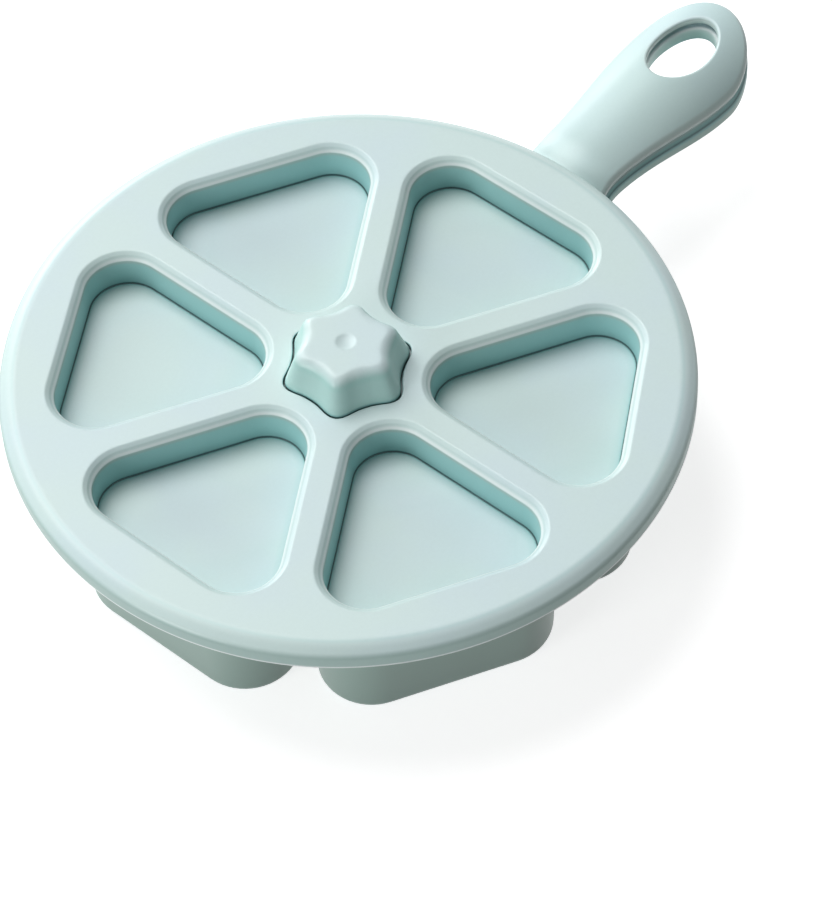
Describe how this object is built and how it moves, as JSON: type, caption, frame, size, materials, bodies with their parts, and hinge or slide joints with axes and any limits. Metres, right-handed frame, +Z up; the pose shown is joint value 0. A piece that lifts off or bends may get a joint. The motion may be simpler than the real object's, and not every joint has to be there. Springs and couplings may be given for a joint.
{
  "type": "rice cake press mold",
  "caption": "Round press mold for triangular rice cakes: a handled tray of deep cups with a star boss, under a handled press lid with matching plungers.",
  "frame": {"origin": "middle of the whole outline, on the plane that the cups stand on", "axes": "+Z up out of the table, +X from the round mold towards the tips of the handles; the two mouldings mirror across the XZ plane"},
  "size_m": [0.286, 0.205, 0.0582],
  "materials": {
    "lid_plastic": "satin moulded polypropylene with a fine texture",
    "tray_plastic": "satin moulded polypropylene with a fine texture"
  },
  "bodies": {
    "mold_tray": {"mold_deck": "tray_plastic", "star_boss": "tray_plastic", "mold_handle": "tray_plastic", "cup_1": "tray_plastic", "cup_2": "tray_plastic", "cup_3": "tray_plastic", "cup_4": "tray_plastic", "cup_5": "tray_plastic", "cup_6": "tray_plastic"},
    "press_lid": {"lid_plate": "lid_plastic", "lid_handle": "lid_plastic", "plunger_1": "lid_plastic", "plunger_2": "lid_plastic", "plunger_3": "lid_plastic", "plunger_4": "lid_plastic", "plunger_5": "lid_plastic", "plunger_6": "lid_plastic"}
  },
  "joints": [
    {"name": "press_lift", "type": "slide", "parent": "mold_tray", "child": "press_lid", "axis": [0, 0, 1], "range_m": [0, 0.06]}
  ]
}
